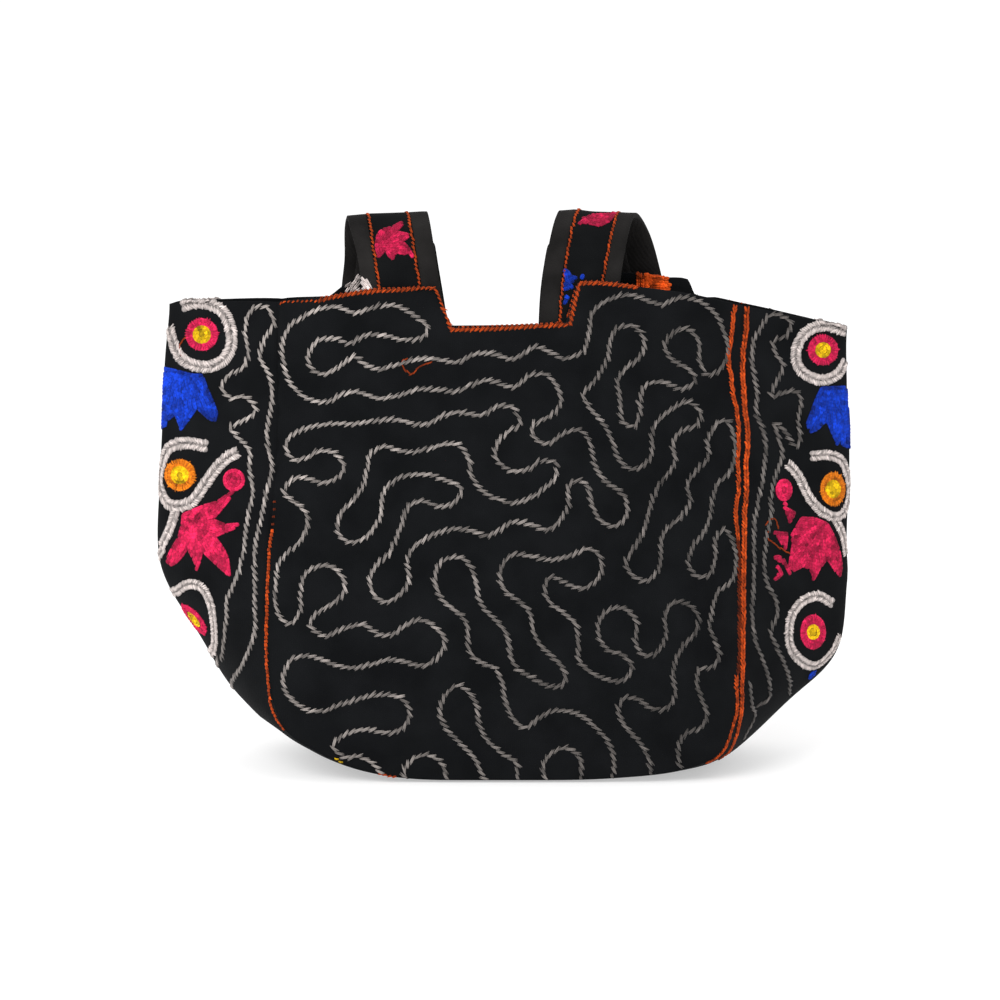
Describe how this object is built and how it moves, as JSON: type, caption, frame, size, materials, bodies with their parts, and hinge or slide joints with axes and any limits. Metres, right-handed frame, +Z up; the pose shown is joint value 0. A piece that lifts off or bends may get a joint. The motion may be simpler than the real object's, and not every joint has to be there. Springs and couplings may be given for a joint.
{
  "type": "embroidered tote bag",
  "caption": "Soft black cloth tote standing open on a folded side gusset, with a notched mouth, embroidered panels and twill-edged strap handles folded over its back",
  "frame": {"origin": "middle of the bag's box at the ground it stands on", "axes": "+Z up, the front panel faces -Y, +X to the right as seen from the front"},
  "size_m": [0.3898, 0.1181, 0.3094],
  "materials": {
    "black_cloth": "matte",
    "band_cloth": "matte",
    "twill_lining": "matte",
    "rope_thread": "satin",
    "white_thread": "satin",
    "orange_thread": "satin",
    "pink_thread": "satin",
    "blue_thread": "satin",
    "yellow_thread": "satin"
  },
  "bodies": {
    "root": {"front_panel": "black_cloth", "back_panel": "black_cloth", "gusset": "black_cloth", "front_handle_lining": "twill_lining", "front_handle_band": "band_cloth", "back_handle_lining": "twill_lining", "back_handle_band": "band_cloth"}
  },
  "joints": []
}
